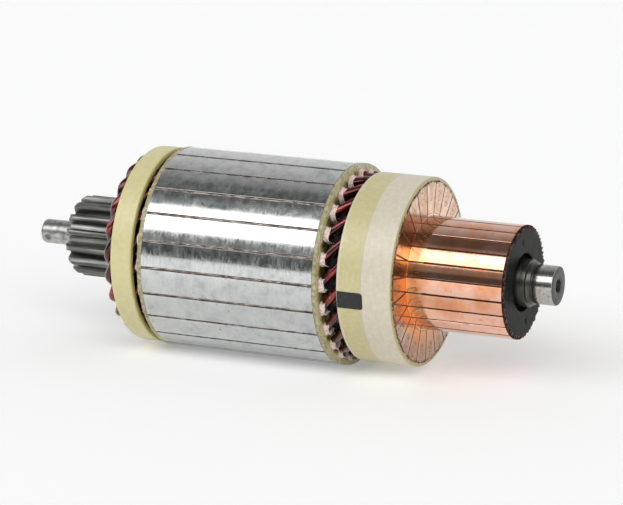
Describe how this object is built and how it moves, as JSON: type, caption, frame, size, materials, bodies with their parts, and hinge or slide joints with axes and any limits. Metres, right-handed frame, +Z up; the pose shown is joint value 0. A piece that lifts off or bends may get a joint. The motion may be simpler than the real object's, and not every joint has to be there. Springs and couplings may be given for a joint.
{
  "type": "motor armature",
  "caption": "Wound motor armature: slotted steel core, hairpin winding under binding bands, copper commutator, and a shaft with bearing journal, sun gear and end spigot.",
  "frame": {"origin": "centre of the commutator-end bearing journal, on the shaft's axis", "axes": "+X along the shaft, away from the commutator and out of the journal's free end; +Z up"},
  "size_m": [0.217, 0.0775, 0.0774],
  "materials": {
    "shaft_steel": "ground and hardened",
    "lamination_steel": "ground",
    "insulating_fibre": "pressed glass-fibre board",
    "liner_paper": "insulating paper",
    "enamelled_wire": "gloss enamel on copper",
    "commutator_copper": "turned copper",
    "mica": "pressed mica",
    "moulded_resin": "moulded",
    "white_binding": "resin-bonded glass tape",
    "yellow_binding": "resin-bonded glass tape",
    "pale_yellow_binding": "resin-bonded glass tape"
  },
  "bodies": {
    "root": {"armature_shaft": "shaft_steel", "coil_01": "enamelled_wire", "coil_02": "enamelled_wire", "coil_03": "enamelled_wire", "coil_04": "enamelled_wire", "coil_05": "enamelled_wire", "coil_06": "enamelled_wire", "coil_07": "enamelled_wire", "coil_08": "enamelled_wire", "coil_09": "enamelled_wire", "coil_10": "enamelled_wire", "coil_11": "enamelled_wire", "coil_12": "enamelled_wire", "coil_13": "enamelled_wire", "coil_14": "enamelled_wire", "coil_15": "enamelled_wire", "coil_16": "enamelled_wire", "coil_17": "enamelled_wire", "coil_18": "enamelled_wire", "coil_19": "enamelled_wire", "coil_20": "enamelled_wire", "coil_21": "enamelled_wire", "coil_22": "enamelled_wire", "coil_23": "enamelled_wire", "commutator_bar_01": "commutator_copper", "commutator_bar_02": "commutator_copper", "commutator_bar_03": "commutator_copper", "commutator_bar_04": "commutator_copper", "commutator_bar_05": "commutator_copper", "commutator_bar_06": "commutator_copper", "commutator_bar_07": "commutator_copper", "commutator_bar_08": "commutator_copper", "commutator_bar_09": "commutator_copper", "commutator_bar_10": "commutator_copper", "commutator_bar_11": "commutator_copper", "commutator_bar_12": "commutator_copper", "commutator_bar_13": "commutator_copper", "commutator_bar_14": "commutator_copper", "commutator_bar_15": "commutator_copper", "commutator_bar_16": "commutator_copper", "commutator_bar_17": "commutator_copper", "commutator_bar_18": "commutator_copper", "commutator_bar_19": "commutator_copper", "commutator_bar_20": "commutator_copper", "commutator_bar_21": "commutator_copper", "commutator_bar_22": "commutator_copper", "commutator_bar_23": "commutator_copper", "commutator_end_band": "white_binding", "commutator_end_layer_insulation": "liner_paper", "commutator_end_overband": "yellow_binding", "commutator_end_washer": "insulating_fibre", "commutator_hub": "moulded_resin", "drive_end_band": "pale_yellow_binding", "drive_end_layer_insulation": "liner_paper", "drive_end_washer": "insulating_fibre", "lamination_stack": "lamination_steel", "mica_separators": "mica", "slot_liners": "liner_paper"}
  },
  "joints": []
}
